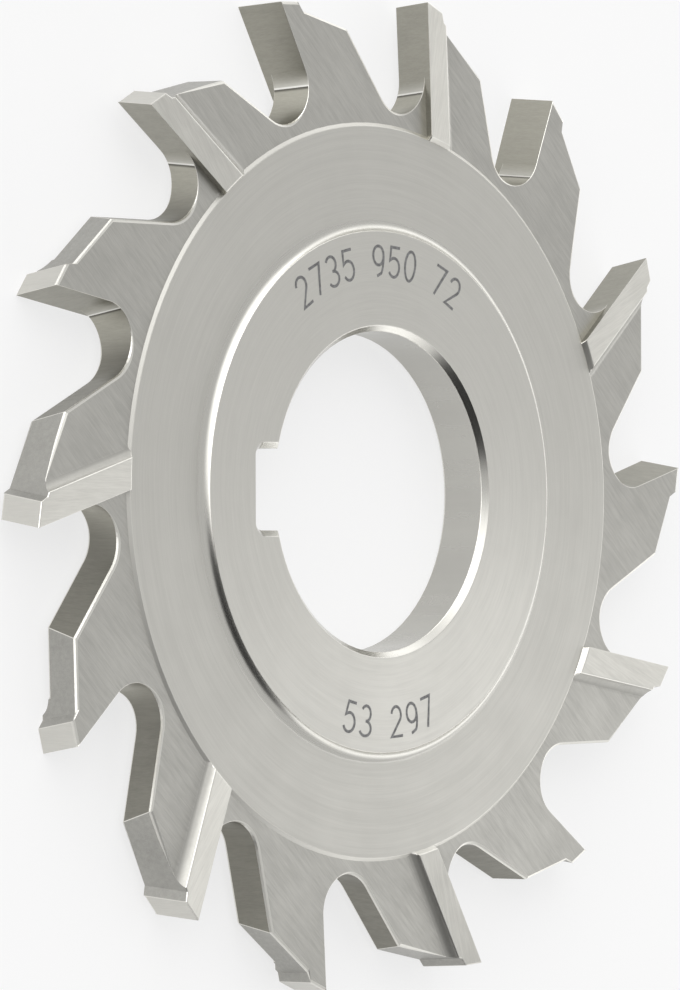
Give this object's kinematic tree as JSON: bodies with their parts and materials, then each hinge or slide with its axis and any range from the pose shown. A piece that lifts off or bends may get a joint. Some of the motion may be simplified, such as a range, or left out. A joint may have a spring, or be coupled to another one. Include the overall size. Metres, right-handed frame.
{
  "type": "side and face cutter",
  "caption": "Thin disc milling cutter with staggered teeth round the rim, narrow side lands on alternating faces, a raised hub and a bore with a keyway.",
  "frame": {"origin": "on the bore axis, in the middle of the cutter's width", "axes": "+Z along the bore axis, out of the hub face from which the rake faces look counter-clockwise; -X through the middle of the keyway"},
  "size_m": [0.0998, 0.099, 0.006],
  "materials": {
    "ground_steel": "ground and satin"
  },
  "bodies": {
    "root": {"side_and_face_cutter": "ground_steel"}
  },
  "joints": []
}
